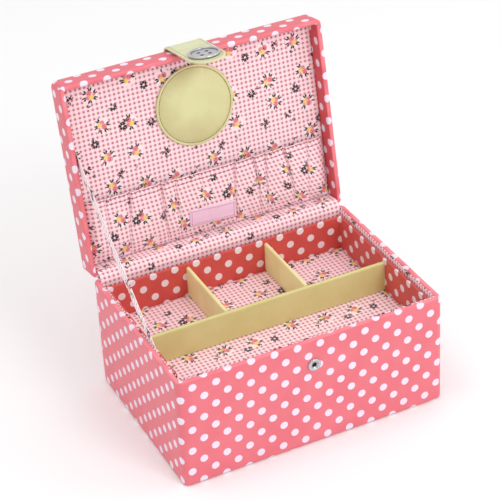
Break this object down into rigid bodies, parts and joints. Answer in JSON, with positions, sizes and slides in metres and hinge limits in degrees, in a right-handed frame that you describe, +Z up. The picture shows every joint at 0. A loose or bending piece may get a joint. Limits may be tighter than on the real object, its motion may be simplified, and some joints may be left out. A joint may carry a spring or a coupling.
{
  "type": "sewing box",
  "caption": "Fabric-covered hinged sewing box with a lift-out divided tray, gathered lid pocket, pincushion, ribbon stay and snap strap.",
  "frame": {"origin": "middle of the underside, on the surface the box stands on", "axes": "+X to the right seen from the front, +Y from the snap towards the hinge, +Z up; the lid is open at rest"},
  "size_m": [0.26, 0.2472, 0.3095],
  "materials": {
    "greyboard": "raw greyboard",
    "polka_cover": "coated leatherette print, coral with white spots",
    "underside_sheet": "coated leatherette, plain coral",
    "gingham_lining": "printed cotton, pink gingham with small posies",
    "ribbon_cloth": "folded printed cotton tape",
    "padding": "foam, wadding and elastic",
    "woven_label": "woven satin, blank, with a stitched border",
    "yellow_leatherette": "pale yellow leatherette, satin",
    "snap_metal": "nickel plate",
    "button_metal": "pewter-look nickel plate",
    "button_backing": "dark disc under the button's holes",
    "tray_cover": "coated leatherette print, deep coral with white spots",
    "tray_board": "raw greyboard",
    "divider_card": "pale yellow leatherette over card"
  },
  "bodies": {
    "base": {"base_front_board": "greyboard", "base_back_board": "greyboard", "base_left_board": "greyboard", "base_right_board": "greyboard", "base_bottom_board": "greyboard", "base_outer_cover": "polka_cover", "base_underside_sheet": "underside_sheet", "base_wall_lining": "gingham_lining", "base_floor_lining": "gingham_lining", "tray_ledge_left": "greyboard", "tray_ledge_right": "greyboard", "snap_socket": "snap_metal", "snap_socket_washer": "snap_metal", "hinge_spine": "polka_cover", "hinge_lining": "gingham_lining", "stay_ribbon": "ribbon_cloth"},
    "lid": {"lid_top_board": "greyboard", "lid_front_board": "greyboard", "lid_back_board": "greyboard", "lid_left_board": "greyboard", "lid_right_board": "greyboard", "lid_outer_cover": "polka_cover", "lid_panel_card": "greyboard", "lid_panel_foam": "padding", "lid_panel_fabric": "gingham_lining", "lid_pocket": "gingham_lining", "pocket_elastic": "padding", "pocket_label": "woven_label", "pincushion_base": "greyboard", "pincushion_cover": "yellow_leatherette", "pincushion_stuffing": "padding", "strap_anchor": "yellow_leatherette"},
    "strap": {"strap_outer": "yellow_leatherette", "strap_lining": "yellow_leatherette", "button_cap": "button_metal", "button_backing": "button_backing", "snap_ball": "snap_metal"},
    "tray": {"tray_front_wall": "tray_cover", "tray_back_wall": "tray_cover", "tray_left_wall": "tray_cover", "tray_right_wall": "tray_cover", "tray_floor_board": "tray_board", "tray_floor_lining": "gingham_lining", "long_divider": "divider_card", "short_divider_left": "divider_card", "short_divider_right": "divider_card"}
  },
  "joints": [
    {"name": "lid_hinge", "type": "hinge", "parent": "base", "child": "lid", "pos_m": [0, 0.093, 0.1122], "axis": [1, 0, 0], "range_deg": [0, 100], "deforming": ["hinge_spine", "hinge_lining", "stay_ribbon"]},
    {"name": "strap_flex", "type": "hinge", "parent": "lid", "child": "strap", "pos_m": [0, 0.12585, 0.29853], "axis": [-1, 0, 0], "range_deg": [0, 75]},
    {"name": "tray_lift", "type": "slide", "parent": "base", "child": "tray", "axis": [0, 0, 1], "range_m": [0, 0.011]}
  ]
}
